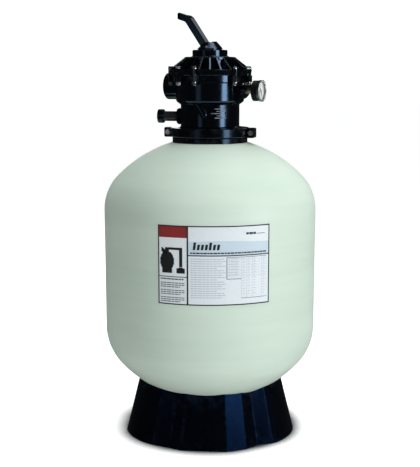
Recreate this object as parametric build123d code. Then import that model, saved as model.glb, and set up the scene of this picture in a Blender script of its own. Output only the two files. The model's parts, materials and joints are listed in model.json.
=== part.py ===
from build123d import *
import os
from math import atan2, cos, degrees, radians, sin, sqrt

# Top-mount sand filter: a moulded tank on a lobed skirt base, with a six-position selector valve
# clamped to its neck.
# Millimetres. +Z is up, the origin is the centre of the foot on the floor, and the tank's label faces -Y.
# Azimuths are in degrees about Z: 0 faces -Y and 90 faces +X.

# ---- driving dimensions: tank ----
TANK_R = 266.5
TANK_WALL = 6.0
BARREL_Z0, BARREL_Z1 = 266.0, 566.0
TOP_KNUCKLE, TOP_CROWN = 120.0, 325.0
FOOT_KNUCKLE, FOOT_CROWN = 128.0, 312.0
MOUTH_R = 72.0
LABEL_X0, LABEL_X1, LABEL_Z0, LABEL_Z1, LABEL_T = -119.7, 137.3, 376.0, 562.0, 0.4

# ---- driving dimensions: base skirt ----
BASE_LOBES = 3
BASE_TALL, BASE_TOP_SCALE, BASE_WALL_SCALE = 150.0, 0.828, 0.978
BASE_LIP_T, BASE_LIP_IN, BASE_LIP_OUT, BASE_CORNER = 5.0, 0.87, 0.99, 7.0
BASE_POINTS = ((35, 203), (45, 221), (80, 218), (92, 211), (101, 215), (131, 216), (145, 213))
BASE_ARC_MID = (62, 224)

# ---- driving dimensions: neck and clamp ----
NECK_R, NECK_TOP_Z = 94.0, 757.0
LIP_R, LIP_T = 90.0, 5.0
CLAMP_R, CLAMP_Z0, CLAMP_Z1 = 98.0, 748.0, 770.0
EAR_X0, EAR_X1, EAR_GAP, EAR_Y = 88.0, 115.5, 2.0, 15.0
EAR_Z0, EAR_Z1, EAR_BOLT_X, EAR_SEAT = 745.5, 770.0, 106.5, 11.0
CLAMP_TURN = -15.0

# ---- driving dimensions: valve ----
THROAT_R, BODY_R, BAND_R, FLANGE_R = 73.5, 85.0, 90.5, 105.0
BODY_STEP_Z, FLANGE_Z0, JOINT_Z = 832.0, 882.0, 898.0
CHAMBER_R, DECK_Z, DECK_T = 72.0, 840.0, 6.0
TUBE_R, TUBE_WALL = 24.4, 4.6
LID_R, LID_EDGE_Z, LID_TOP_R, LID_TOP_Z = 104.0, 912.0, 65.0, 942.0
LID_RIM_T, LID_DRAFT, TROUGH_Z = 4.5, 2.6, 905.0
COLLAR_R, COLLAR_IN_R, COLLAR_Z, CUP_FLOOR_Z, BEAD = 43.5, 36.0, 960.0, 944.0, 3.2
RIB_COUNT, RIB_T = 24, 3.4
BOLT_AZ = (-82.5, -52.5, -22.5, 37.5, 67.5, 97.5, 157.5, 217.5)
BOLT_RING_R, BOLT_R, SLOT_R, SLOT_MOUTH, LUG_TURN = 97.5, 3.1, 3.7, 2.3, 6.0
PORT_Z, PORT_HUB_R, PORT_R, PORT_DEPTH, PORT_THROAT_R = 871.5, 33.0, 24.2, 30.0, 19.5
PORTS = {"pump": (-112.5, 115.0), "return": (187.5, 115.0), "waste": (127.5, 108.0)}
SPINDLE_R, PIN_Z, PIN_R, POSITIONS = 12.5, 966.0, 4.0, 6
HANDLE_AZ, HANDLE_W, HANDLE_T, HANDLE_NOSE = -112.5, 29.0, 17.0, 12.0
HANDLE_PATH = ((6.0, 963.0), (56.0, 1036.0), (77.0, 1043.0))
HUB_FOOT_R, HUB_BRIM_R, HUB_TOP_R, HUB_TOP_Z = 29.0, 31.5, 16.0, 979.0

# ---- driving dimensions: gauge, sight glass, moulded marks ----
GAUGE_AZ, GAUGE_Z, GAUGE_R, BEZEL_R = 67.0, 861.0, 25.0, 26.2
GAUGE_BOSS_R, GAUGE_BOSS_END, CASE_BACK, CASE_DEPTH = 12.0, 97.0, 116.5, 20.5
BOURDON_AT, GAUGE_PLATE_AT, GEARS_AT, DIAL_AT = 2.2, 4.7, 7.5, 16.5  # from the case's back
GEAR_MODULE, PINION_TEETH, SECTOR_TEETH, SECTOR_KEPT = 0.5, 10, 60, 13
SECTOR_REACH = GEAR_MODULE * (PINION_TEETH + SECTOR_TEETH) / 2
SECTOR_REST, NEEDLE_REST = -24.0, -150.0
SIGHT_AZ, SIGHT_Z = -102.0, 797.0
MARK_AZ, MARK_Z, MARK_W, MARK_H = 19.0, 807.0, 34.0, 25.0

# ---- driving dimensions: underdrain and drain ----
PIPE_R, PIPE_WALL, PIPE_Z0, PIPE_Z1 = 24.15, 3.65, 128.0, 800.0
HUB_R, LATERAL_Z, LATERAL_COUNT, LATERAL_R, LATERAL_END = 36.0, 135.0, 8, 10.0, 150.0
DRAIN_AZ, DRAIN_TILT = 180.0, 45.0

GAP = 0.3  # room between large pieces that must not touch
BOND = 0.05  # film of glue, or the clearance of a close fit
PARTS = "parts"


# ---------------------------------------------------------------- helpers
def polar(az, r, z=0.0):
    """Point at azimuth az, radius r and height z."""
    return Vector(r * sin(radians(az)), -r * cos(radians(az)), z)


def outward(az, z, r=0.0):
    """Plane at radius r and height z whose Z points outwards at azimuth az and whose Y is up."""
    a = radians(az)
    return Plane(origin=polar(az, r, z), x_dir=(cos(a), sin(a), 0), z_dir=(sin(a), -cos(a), 0))


def turned(*points):
    """Solid of revolution about Z of a closed polygon of (radius, height) points."""
    return revolve(Plane.XZ * make_face(Polyline(*points, close=True)), Axis.Z)


def bar(r, z0, z1):
    """Upright cylinder on Z from z0 to z1."""
    return Pos(0, 0, (z0 + z1) / 2) * Cylinder(r, z1 - z0)


def tube(r_in, r_out, z0, z1):
    """Upright tube on Z from z0 to z1."""
    return bar(r_out, z0, z1) - bar(r_in, z0 - 1, z1 + 1)


def block(x0, x1, y0, y1, z0, z1):
    """Box between two corners."""
    return Pos((x0 + x1) / 2, (y0 + y1) / 2, (z0 + z1) / 2) * Box(x1 - x0, y1 - y0, z1 - z0)


def wedge(az0, az1, r, z0, z1):
    """Pie slice about Z between two azimuths, out to radius r."""
    middle = (az0 + az1) / 2
    points = [(0, 0)] + [tuple(polar(a, r * 1.3))[:2] for a in (az0, middle, az1)]
    return extrude(Pos(0, 0, z0) * make_face(Polyline(*points, close=True)), z1 - z0)


def sector(r_in, r_out, az0, az1, z0, z1):
    """Part of a tube between two azimuths."""
    return tube(r_in, r_out, z0, z1) & wedge(az0, az1, r_out, z0, z1)


def hexagon(across, z0, z1):
    """Upright hexagonal bar, measured across its flats."""
    return extrude(Pos(0, 0, z0) * RegularPolygon(across / 2, 6, major_radius=False), z1 - z0)


def seal(r, section, z):
    """O-ring lying in a level plane."""
    return Pos(0, 0, z) * Torus(r, section)


def several(shapes):
    """Separate solids as one node."""
    return Compound(children=[s for shape in shapes for s in shape.solids()])


# ---------------------------------------------------------------- tank
def crown_drop(knuckle, crown):
    """Height from a dished head's knuckle centre to its crown centre."""
    return sqrt((crown - knuckle) ** 2 - (TANK_R - knuckle) ** 2)


def tank_volume(inset):
    """Solid inside the tank's outer surface, moved inwards by inset."""
    top, foot = crown_drop(TOP_KNUCKLE, TOP_CROWN), crown_drop(FOOT_KNUCKLE, FOOT_CROWN)
    top_turn = degrees(atan2(top, TANK_R - TOP_KNUCKLE))
    foot_turn = degrees(atan2(foot, TANK_R - FOOT_KNUCKLE))
    top_centre, foot_centre = BARREL_Z1 - top, BARREL_Z0 + foot
    r = TANK_R - inset
    outline = [
        Line((0, foot_centre - FOOT_CROWN + inset), (0, top_centre + TOP_CROWN - inset)),
        CenterArc((0, top_centre), TOP_CROWN - inset, top_turn, 90 - top_turn),
        CenterArc((TANK_R - TOP_KNUCKLE, BARREL_Z1), TOP_KNUCKLE - inset, 0, top_turn),
        Line((r, BARREL_Z0), (r, BARREL_Z1)),
        CenterArc((TANK_R - FOOT_KNUCKLE, BARREL_Z0), FOOT_KNUCKLE - inset, -foot_turn, foot_turn),
        CenterArc((0, foot_centre), FOOT_CROWN - inset, -90, 90 - foot_turn),
    ]
    return revolve(Plane.XZ * make_face(outline), Axis.Z)


def drain_plane():
    """Plane on the tank's dished foot whose Z points out of the wall, down and away at the back."""
    a, t = radians(DRAIN_AZ), radians(DRAIN_TILT)
    r = FOOT_CROWN * cos(t)
    z = BARREL_Z0 + crown_drop(FOOT_KNUCKLE, FOOT_CROWN) - FOOT_CROWN * sin(t)
    out = (sin(a) * cos(t), -cos(a) * cos(t), -sin(t))
    return Plane(origin=polar(DRAIN_AZ, r, z), x_dir=(cos(a), sin(a), 0), z_dir=out)


def tank_shell():
    drain_hole = drain_plane() * bar(13.0, -30, 10)
    mouth = bar(MOUTH_R, BARREL_Z1, 800)
    return tank_volume(0) - tank_volume(TANK_WALL) - mouth - drain_hole


def tank_label():
    skin = tube(TANK_R + BOND, TANK_R + BOND + LABEL_T, LABEL_Z0, LABEL_Z1)
    centre = Pos((LABEL_X0 + LABEL_X1) / 2, (LABEL_Z0 + LABEL_Z1) / 2)
    face = centre * RectangleRounded(LABEL_X1 - LABEL_X0, LABEL_Z1 - LABEL_Z0, 3)
    return skin & extrude(Plane.XZ * face, TANK_R + 20)


# ---------------------------------------------------------------- base skirt
def base_outline(scale):
    """Plan of the skirt at the floor, times scale: alike thirds, each with a deep and a shallow valley."""
    edges = []
    for lobe in range(BASE_LOBES):
        turn = lobe * 360 / BASE_LOBES
        ends = BASE_POINTS + ((BASE_POINTS[0][0] + 360 / BASE_LOBES, BASE_POINTS[0][1]),)
        points = [polar(az + turn, r * scale) for az, r in ends]
        bow = polar(BASE_ARC_MID[0] + turn, BASE_ARC_MID[1] * scale)
        edges.append(Line(points[0], points[1]))
        edges.append(ThreePointArc(points[1], bow, points[2]))
        edges += [Line(a, b) for a, b in zip(points[2:-1], points[3:])]
    face = make_face(edges)
    return fillet(face.vertices(), BASE_CORNER * scale)


def base_cone(scale):
    """Tapering solid of the skirt's plan."""
    top = Pos(0, 0, BASE_TALL) * base_outline(scale * BASE_TOP_SCALE)
    return loft([base_outline(scale), top], ruled=True)


def base_skirt():
    """Hollow skirt with an inward lip at the floor, its top edge cut to the tank's dished foot."""
    wall = base_cone(1.0) - base_cone(BASE_WALL_SCALE)
    lip = extrude(base_outline(BASE_LIP_OUT), BASE_LIP_T) - extrude(base_outline(BASE_LIP_IN), BASE_LIP_T)
    return (wall + lip) - tank_volume(-GAP)


# ---------------------------------------------------------------- neck and clamp
def neck_flange():
    """Black ring bonded to the tank's mouth, with the lip that the clamp holds."""
    blank = turned(
        (66, 712), (71.7, 712), (71.7, 700), (NECK_R, 700), (NECK_R, 745.4), (NECK_R - 1, 746.4),
        (84, 747.6), (84, 750.2), (LIP_R, NECK_TOP_Z - LIP_T), (LIP_R, NECK_TOP_Z), (66, NECK_TOP_Z),
    )
    groove = tube(76.0, 81.0, NECK_TOP_Z - 2.6, NECK_TOP_Z + 1)
    sleeve = turned((66, 708), (71.7, 708), (71.7, 745), (66, 745))
    return ((blank - tank_volume(-0.1)) + sleeve) - groove


def neck_seal():
    return seal(78.5, 2.45, NECK_TOP_Z - BOND) & bar(100, NECK_TOP_Z - 2.6, NECK_TOP_Z)


def clamp_ring():
    """Whole clamp channel, before it is cut in two."""
    return turned(
        (85.0, CLAMP_Z0), (CLAMP_R - 1.5, CLAMP_Z0), (CLAMP_R, CLAMP_Z0 + 1.5), (CLAMP_R, CLAMP_Z1 - 1.5),
        (CLAMP_R - 1.5, CLAMP_Z1), (80.0, CLAMP_Z1), (80.0, 766.3), (LIP_R + 0.6, 762.0),
        (LIP_R + 0.6, 751.9), (85.0, 750.3),
    )


def clamp_ear(side):
    """One ear's solid across both halves, on the +X (1) or -X (-1) side."""
    ear = block(EAR_X0, EAR_X1, -EAR_Y, EAR_Y, EAR_Z0, EAR_Z1)
    ear = chamfer(ear.edges().filter_by(Axis.X).group_by(Axis.Z)[-1], 2.2)
    ear = fillet(ear.edges().filter_by(Axis.Y).group_by(Axis.X)[-1], 3.5)
    ear = ear - bar(CLAMP_R - 3, EAR_Z0 - 1, EAR_Z1 + 1)
    middle = (EAR_Z0 + EAR_Z1) / 2
    hole = Pos(EAR_BOLT_X, 0, middle) * Rot(90, 0, 0) * Cylinder(4.3, 60)
    seat = extrude(Pos(EAR_BOLT_X, middle) * RectangleRounded(13.4, 17.0, 2.5), 10)
    for turn, edge in ((90, -EAR_SEAT), (-90, EAR_SEAT)):
        ear -= Pos(0, edge, 0 if turn > 0 else 2 * middle) * Rot(turn, 0, 0) * seat
    return Rot(0, 0, 0 if side > 0 else 180) * (ear - hole)


def clamp_half(front):
    keep = block(-130, 130, -130, -EAR_GAP, 700, 800) if front else block(-130, 130, EAR_GAP, 130, 700, 800)
    return Rot(0, 0, CLAMP_TURN) * ((clamp_ring() + clamp_ear(1) + clamp_ear(-1)) & keep)


def at_ears(*shapes):
    """Copies of shapes at both ears' bolts, their Z along the bolt and pointing backwards."""
    places = [Pos(side * EAR_BOLT_X, 0, (EAR_Z0 + EAR_Z1) / 2) * Rot(-90, 0, 0) for side in (1, -1)]
    return several([Rot(0, 0, CLAMP_TURN) * place * shape for place in places for shape in shapes])


def clamp_bolts():
    shank = bar(4.0, -EAR_SEAT - 1.6, EAR_SEAT + 12.0)
    return at_ears(shank + hexagon(11.0, -EAR_SEAT - 6.6, -EAR_SEAT - 1.6))


def clamp_washers():
    front, rear = (-EAR_SEAT - 1.6, -EAR_SEAT), (EAR_SEAT, EAR_SEAT + 1.6)
    return at_ears(*[tube(4.0 + BOND, 6.4, *span) for span in (front, rear)])


def clamp_nuts():
    return at_ears(hexagon(11.0, EAR_SEAT + 1.6, EAR_SEAT + 8.2) - bar(4.0 + BOND, 0, 40))


# ---------------------------------------------------------------- valve body
def slots(z0, z1):
    """Bolt slots that open through a flange's edge by a narrower mouth."""
    one = bar(SLOT_R, z0, z1) + block(0, 20, -SLOT_MOUTH, SLOT_MOUTH, z0, z1)
    return [Rot(0, 0, az - 90) * Pos(BOLT_RING_R, 0, 0) * one for az in BOLT_AZ]


def slanted_boss():
    """Rounded swelling that slants down from the drum across the front of the throat."""
    r, top, foot = 11.0, polar(-29, 67, 834), polar(-12, 67, 803)
    run = foot - top
    return Plane(origin=top, z_dir=run) * bar(r, 0, run.length) + Pos(top) * Sphere(r) + Pos(foot) * Sphere(r)


def throat_marks():
    """Raised pad on the throat with a frame round it and a flow arrow across it."""
    pad = RectangleRounded(MARK_W, MARK_H, 2)
    frame = pad - RectangleRounded(MARK_W - 5, MARK_H - 5, 1)
    shaft = Pos(-9, 0) * Rectangle(28, 2.4)
    head = make_face(Polyline((-22, 4), (-22, -4), (-29, 0), close=True))
    plane = outward(MARK_AZ, MARK_Z)
    low = extrude(plane * pad, 90) & tube(60, THROAT_R + 2, 780, 840)
    high = extrude(plane * (frame + shaft + head), 90) & tube(60, THROAT_R + 4, 780, 840)
    return low + high


def valve_outside():
    """Throat, drum, ports and bolt lugs as one solid, before it is hollowed."""
    outside = turned(
        (0, 735), (65.5, 735), (65.5, NECK_TOP_Z), (LIP_R, NECK_TOP_Z), (LIP_R, NECK_TOP_Z + LIP_T),
        (79, 766.5), (79, 770.5), (THROAT_R, 774), (THROAT_R, BODY_STEP_Z - 5), (BODY_R - 3, BODY_STEP_Z + 1),
        (BODY_R, BODY_STEP_Z + 5), (BODY_R, FLANGE_Z0 - 3), (BAND_R, FLANGE_Z0), (BAND_R, JOINT_Z - 0.6),
        (BAND_R - 0.6, JOINT_Z), (0, JOINT_Z),
    )
    for az in BOLT_AZ:
        outside += sector(BODY_R - 5, FLANGE_R, az - LUG_TURN, az + LUG_TURN, FLANGE_Z0, JOINT_Z)
    for az, end in PORTS.values():
        outside += outward(az, PORT_Z) * (bar(PORT_HUB_R, 60, end - 2) + bar(PORT_HUB_R - 2, 60, end))
    outside += outward(GAUGE_AZ, GAUGE_Z) * bar(GAUGE_BOSS_R, 70, GAUGE_BOSS_END)
    outside += outward(SIGHT_AZ, SIGHT_Z) * (bar(20.5, 60, 80) + bar(18.5, 60, 83))
    return (outside + slanted_boss() + throat_marks()) - bar(LID_R + 1, JOINT_Z, JOINT_Z + 30)


def valve_body():
    tube_out = TUBE_R + TUBE_WALL
    annulus = turned((tube_out, 734), (60, 734), (60, 757), (66, 764), (66, DECK_Z), (tube_out, DECK_Z))
    chamber = bar(CHAMBER_R, DECK_Z + DECK_T, JOINT_Z + 1)
    windows = [sector(34, 60, 60 * k - 21, 60 * k + 21, DECK_Z - 1, DECK_Z + DECK_T + 1) for k in range(6)]
    body = valve_outside() - annulus - chamber - bar(TUBE_R, 730, 805) - bar(20.5, 730, 860)
    body -= tube(74.5, 79.5, JOINT_Z - 2.6, JOINT_Z + 1) + tube(TUBE_R - 1, 27.5, 735.4, 739.6)
    for cut in windows + slots(FLANGE_Z0 - 1, JOINT_Z + 1):
        body -= cut
    for az, end in PORTS.values():
        bore = bar(PORT_R, end - PORT_DEPTH, end + 1) + bar(PORT_THROAT_R, 60, end)
        body -= outward(az, PORT_Z) * bore
    body -= outward(GAUGE_AZ, GAUGE_Z) * bar(6.6, 60, GAUGE_BOSS_END + 1)
    body -= outward(SIGHT_AZ, SIGHT_Z) * (bar(11.2, 58, 90) + bar(14.8, 79.5, 90))
    return body


# ---------------------------------------------------------------- valve lid
def lid_skin():
    """Flange, trough, top plate and collar, as one turned solid."""
    return turned(
        (0, JOINT_Z), (LID_R - LID_DRAFT - 1, JOINT_Z), (LID_R - LID_DRAFT, JOINT_Z + 1),
        (LID_R, LID_EDGE_Z - 1), (LID_R - 1, LID_EDGE_Z), (LID_R - LID_RIM_T, LID_EDGE_Z),
        (LID_R - LID_RIM_T, TROUGH_Z), (LID_TOP_R - 1, TROUGH_Z), (LID_TOP_R - 3, TROUGH_Z + 3),
        (LID_TOP_R - 3, LID_TOP_Z - 8), (LID_TOP_R, LID_TOP_Z - 6), (LID_TOP_R, LID_TOP_Z - 0.8),
        (LID_TOP_R - 0.8, LID_TOP_Z), (COLLAR_R + BEAD, LID_TOP_Z), (COLLAR_R + BEAD, LID_TOP_Z + BEAD - 1),
        (COLLAR_R + BEAD - 1, LID_TOP_Z + BEAD), (COLLAR_R, LID_TOP_Z + BEAD), (COLLAR_R, COLLAR_Z - 1.5),
        (COLLAR_R - 1.5, COLLAR_Z), (COLLAR_IN_R + 1, COLLAR_Z), (COLLAR_IN_R, COLLAR_Z - 1),
        (COLLAR_IN_R, CUP_FLOOR_Z), (0, CUP_FLOOR_Z),
    )


def valve_lid():
    spigot = bar(71.6, JOINT_Z - 5, JOINT_Z + 1)
    hollow = turned(
        (0, JOINT_Z - 6), (64, JOINT_Z - 6), (64, JOINT_Z + 2),
        (57, JOINT_Z + 4), (57, 930), (50, 936), (0, 936),
    )
    spindle_boss = bar(22, 915, 940)
    fin = make_face(Polyline(
        (60, TROUGH_Z - 1), (60, LID_TOP_Z - 1.5), (LID_TOP_R - 0.2, LID_TOP_Z - 1.5),
        (LID_R - 2.5, LID_EDGE_Z + 0.5), (LID_R - 2.5, TROUGH_Z - 1), close=True,
    ))
    rib = extrude(Plane.XZ * fin, RIB_T / 2, both=True)
    lid = lid_skin() + spigot
    for k in range(RIB_COUNT):
        lid += Rot(0, 0, k * 360 / RIB_COUNT - 90) * rib
    for az in BOLT_AZ:
        lid += Rot(0, 0, az - 90) * Pos(BOLT_RING_R - 0.5, 0, 0) * bar(7.0, JOINT_Z, LID_EDGE_Z + 2)
    lid = (lid - hollow) + spindle_boss
    lid = lid - bar(SPINDLE_R + 0.3, 900, 960)
    for cut in slots(JOINT_Z - 1, LID_EDGE_Z + 4):
        lid -= cut
    for az in BOLT_AZ:
        lid -= Rot(0, 0, az - 90) * Pos(BOLT_RING_R, 0, 0) * bar(7.6, LID_EDGE_Z + 2, LID_EDGE_Z + 12)
    detent = block(COLLAR_IN_R - 6, COLLAR_R + 6, -3, 3, COLLAR_Z - 3, COLLAR_Z + 1)
    groove = block(COLLAR_R - 3.5, COLLAR_R + 6, -4.5, 4.5, LID_TOP_Z + BEAD, COLLAR_Z + 1)
    for k in range(POSITIONS):
        lid -= Rot(0, 0, HANDLE_AZ - 90 + k * 360 / POSITIONS) * detent
        lid -= Rot(0, 0, HANDLE_AZ - 90 + (k + 0.5) * 360 / POSITIONS) * groove
    return lid


def lid_seal():
    return seal(77.0, 2.45, JOINT_Z - 0.1) & bar(100, JOINT_Z - 2.6, JOINT_Z)


def at_bolts(shape):
    """Copies of a shape at all the lid's bolts."""
    return several([Rot(0, 0, az - 90) * Pos(BOLT_RING_R, 0, 0) * shape for az in BOLT_AZ])


def lid_bolts():
    head = hexagon(11.0, LID_EDGE_Z + 3.6, LID_EDGE_Z + 8.4)
    return at_bolts(bar(BOLT_R, FLANGE_Z0 - 8.2, LID_EDGE_Z + 3.6) + head)


def lid_washers():
    return at_bolts(several([
        tube(BOLT_R + BOND, 7.0, LID_EDGE_Z + 2, LID_EDGE_Z + 3.6),
        tube(BOLT_R + BOND, 7.0, FLANGE_Z0 - 1.6, FLANGE_Z0),
    ]))


def lid_nuts():
    return at_bolts(hexagon(11.0, FLANGE_Z0 - 7.2, FLANGE_Z0 - 1.6) - bar(BOLT_R + BOND, 800, 900))


def position_plate():
    """Flat ring on the lid that carries the six position marks."""
    return tube(COLLAR_R + BEAD + 0.4, LID_TOP_R - 3, LID_TOP_Z, LID_TOP_Z + 1.0)


# ---------------------------------------------------------------- selector
def spider_gasket():
    z0, z1 = DECK_Z + DECK_T, DECK_Z + DECK_T + 4.5
    gasket = tube(60.5, 66, z0, z1) + tube(26, 32.5, z0, z1)
    for k in range(6):
        gasket += Rot(0, 0, 60 * k - 60) * block(31, 62, -2.5, 2.5, z0, z1)
    return gasket


def rotor():
    """Diverter disc, its hollow crossover hood and the spindle, in one moulding."""
    z0 = DECK_Z + DECK_T + 4.6
    disc = bar(69, z0, z0 + 7) + bar(24, z0, z0 + 19)
    hood = sector(34, 60, -110, -10, z0 + 6, z0 + 17)
    under = sector(37, 57, -106, -14, z0 - 1, z0 + 14)
    window = sector(36, 58, 39, 81, z0 - 1, z0 + 8)
    spindle = bar(SPINDLE_R, z0 + 10, 940.5)
    tang = block(-8, 8, -10, 10, 940, 974)
    tang = fillet(tang.edges().filter_by(Axis.Y).group_by(Axis.Z)[-1], 4.0) & bar(SPINDLE_R, 939, 980)
    grooves = tube(10.4, 14, 920.2, 924.2) + tube(10.4, 14, 928.2, 932.2)
    pin_hole = Pos(0, 0, PIN_Z) * Rot(90, 0, 0) * Cylinder(PIN_R, 60)
    stem = (spindle - grooves) + tang - pin_hole
    return (disc + hood - under - window) + Rot(0, 0, HANDLE_AZ - 90) * stem


def spindle_seals():
    return several([seal(11.4, 1.0, z) for z in (922.2, 930.2)])


def spring_washer():
    return tube(13.2, 21.5, 912.9, 914.8)


def lift_spring():
    """Compression spring round the spindle, from the rotor's hub to the washer under the lid."""
    z0, z1, turns = 871.8, 911.2, 4
    coil = Helix(pitch=(z1 - z0) / turns, height=z1 - z0, radius=17.5)
    start = coil @ 0
    wire = Plane(origin=start, z_dir=coil % 0) * Circle(1.5)
    return Pos(0, 0, z0) * sweep(wire, path=coil)


def cam_washer():
    return tube(13.2, 27, CUP_FLOOR_Z, CUP_FLOOR_Z + 2)


def handle_pin():
    pin = Rot(90, 0, 0) * Cylinder(PIN_R, 46)
    return Rot(0, 0, HANDLE_AZ - 90) * Pos(0, 0, PIN_Z) * pin


def handle_arm():
    """Cranked flat arm whose end is rounded in plan and in profile."""
    profile = trace(FilletPolyline(*HANDLE_PATH, radius=16), line_width=HANDLE_T)
    profile += Pos(*HANDLE_PATH[-1]) * Circle(HANDLE_T / 2)
    arm = extrude(Plane.XZ * profile, HANDLE_W / 2, both=True)
    rails = [e for e in arm.edges() if abs(abs(e.center().Y) - HANDLE_W / 2) < 0.01]
    arm = fillet(rails, 2.2)
    reach = arm.bounding_box().max.X
    plan = extrude(Pos(0, 0, 900) * RectangleRounded(2 * reach, HANDLE_W, HANDLE_NOSE), 200)
    return arm & plan


def handle():
    """Selector lever: a round hub with a cam foot, its arm, and a gusset opposite the arm."""
    base_z = CUP_FLOOR_Z + 2 + GAP
    cam_r, cam_x = PIN_Z - base_z, 12.0
    hub = turned(
        (0, base_z), (HUB_FOOT_R, base_z), (HUB_FOOT_R, 961), (HUB_BRIM_R, 962), (HUB_BRIM_R, 963.5),
        (HUB_TOP_R, HUB_TOP_Z - 1), (HUB_TOP_R - 1.5, HUB_TOP_Z), (0, HUB_TOP_Z),
    )
    heel = block(-40, cam_x, -40, 40, base_z, 985)
    toe = block(cam_x, 40, -40, 40, PIN_Z, 985) + Pos(cam_x, 0, PIN_Z) * Rot(90, 0, 0) * Cylinder(cam_r, 80)
    gusset = make_face(Polyline((-31.5, 962), (-31, 966), (-17, 980.5), (-6, 980.5), (-6, 962), close=True))
    lever = (hub & (heel + toe)) + handle_arm() + extrude(Plane.XZ * gusset, 2.2, both=True)
    slot = Polyline((-8.6, 940), (21.6, 940), (11.6, 961), (11.6, PIN_Z), (-8.6, PIN_Z), close=True)
    room = extrude(Plane.XZ * make_face(slot), 10.4, both=True)
    room += Pos(0, 0, PIN_Z) * Rot(90, 0, 0) * Cylinder(11.8, 20.8)
    pin_hole = Pos(0, 0, PIN_Z) * Rot(90, 0, 0) * Cylinder(PIN_R + BOND, 80)
    return Rot(0, 0, HANDLE_AZ - 90) * (lever - room - pin_hole)


# ---------------------------------------------------------------- sight glass
def sight_glass():
    """Closed clear tube that screws into the throat's boss."""
    glass = bar(11.0, 66, 84) + bar(12.5, 83.2, 121) - bar(9.0, 60, 117)
    return outward(SIGHT_AZ, SIGHT_Z) * glass


def sight_cap():
    """Moulded end cap on the sight glass, with grip flats."""
    cap = bar(17.3, 118.0, 133.0) - bar(12.6, 117.0, 121.1)
    cap = fillet(cap.edges().filter_by(GeomType.CIRCLE).sort_by(SortBy.RADIUS)[-2:], 2.0)
    for k in range(12):
        cap -= Rot(0, 0, 30 * k) * Pos(18.3, 0, 0) * bar(1.7, 110, 140)
    return outward(SIGHT_AZ, SIGHT_Z) * cap


def sight_seal():
    return outward(SIGHT_AZ, SIGHT_Z) * tube(11.3, 14.4, 79.6, 83.1)


# ---------------------------------------------------------------- pressure gauge
def gear(teeth, kept, z0, z1):
    """Flat gear of straight-flanked teeth, thinned for backlash; kept teeth centred on +Y."""
    m = GEAR_MODULE
    r, pitch = m * teeth / 2, 360 / teeth
    root, tip = r - 1.2 * m, r + 0.85 * m
    points = []
    for k in range(kept):
        a = 90 + (k - (kept - 1) / 2) * pitch
        for radius, part in ((root, -0.30), (tip, -0.09), (tip, 0.09), (root, 0.30)):
            t = radians(a + part * pitch)
            points.append((radius * cos(t), radius * sin(t)))
    if kept < teeth:
        points.append((0, 0))
    return extrude(Pos(0, 0, z0) * make_face(Polyline(*points, close=True)), z1 - z0)


def gauge():
    """Plane on the back of the gauge's case, with Z towards its face."""
    return outward(GAUGE_AZ, GAUGE_Z, CASE_BACK)


def gauge_stem():
    """Socket that carries the gauge: a screwed shank, a hexagon and the block inside the case."""
    stem = bar(6.5, 88, CASE_BACK + 4.5) + hexagon(14, GAUGE_BOSS_END + 2, CASE_BACK - 4)
    return outward(GAUGE_AZ, GAUGE_Z) * (stem - bar(2.0, 87, CASE_BACK + 1.5))


def gauge_case():
    case = bar(GAUGE_R, 0, CASE_DEPTH) - bar(GAUGE_R - 1.6, 2, CASE_DEPTH + 1)
    case = fillet(case.edges().filter_by(GeomType.CIRCLE).group_by(Axis.Z)[0], 1.2)
    return gauge() * (case - bar(6.5 + BOND, -1, 3))


def gauge_bezel():
    ring = tube(GAUGE_R + BOND, BEZEL_R, CASE_DEPTH - 5, CASE_DEPTH + 3)
    ring += tube(GAUGE_R - 1.4, BEZEL_R, CASE_DEPTH + 1.7, CASE_DEPTH + 3)
    rim = ring.edges().filter_by(GeomType.CIRCLE).group_by(Axis.Z)[-1].sort_by(SortBy.RADIUS)[-1:]
    return gauge() * fillet(rim, 1.0)


def gauge_lens():
    return gauge() * bar(GAUGE_R - 0.2, CASE_DEPTH, CASE_DEPTH + 1.6)


def gauge_dial():
    return gauge() * (bar(GAUGE_R - 1.8, DIAL_AT, DIAL_AT + 0.6) - bar(1.2, 10, 20))


def bourdon_tube():
    """Flattened C-shaped pressure tube behind the dial, brazed to the socket."""
    z0, z1 = BOURDON_AT, BOURDON_AT + 2.2
    hoop = tube(18.0, 20.5, z0, z1) - wedge(60, 120, 30, 0, 10)
    root = block(-3.0, 3.0, -18.5, -6.6, z0 + 0.2, z1 - 0.2)
    return gauge() * (hoop + root)


def gauge_plate():
    """Movement plate that holds the pinion's and the sector's pivots."""
    plate = block(-6, 6, -20.5, 6, GAUGE_PLATE_AT, GAUGE_PLATE_AT + 1.2)
    pivot = bar(1.1, 0, 10)
    return gauge() * (plate - pivot - Pos(0, -SECTOR_REACH, 0) * pivot)


def pinion():
    wheel = gear(PINION_TEETH, PINION_TEETH, GEARS_AT, GEARS_AT + 2)
    return gauge() * (wheel + bar(0.9, GAUGE_PLATE_AT + 0.1, DIAL_AT + 2))


def gear_sector():
    fan = gear(SECTOR_TEETH, SECTOR_KEPT, GEARS_AT + 0.2, GEARS_AT + 1.8)
    fan += bar(1.6, GAUGE_PLATE_AT + 1.4, GEARS_AT + 1.8) + bar(0.9, GAUGE_PLATE_AT + 0.1, GEARS_AT + 1)
    return gauge() * Pos(0, -SECTOR_REACH, 0) * Rot(0, 0, SECTOR_REST) * fan


def gauge_needle():
    """Pointer with a round hub and a short tail."""
    z = DIAL_AT + 1.4
    blade = Polyline((-1.5, -7), (1.5, -7), (1.3, 0), (0.35, 18.5), (-0.35, 18.5), (-1.3, 0), close=True)
    needle = extrude(Pos(0, 0, z) * make_face(blade), 0.5) + bar(2.4, z, z + 1.2) - bar(0.9, 10, DIAL_AT + 2)
    return gauge() * Rot(0, 0, NEEDLE_REST) * needle


# ---------------------------------------------------------------- underdrain
def standpipe():
    return tube(PIPE_R - PIPE_WALL, PIPE_R, PIPE_Z0, PIPE_Z1)


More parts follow.
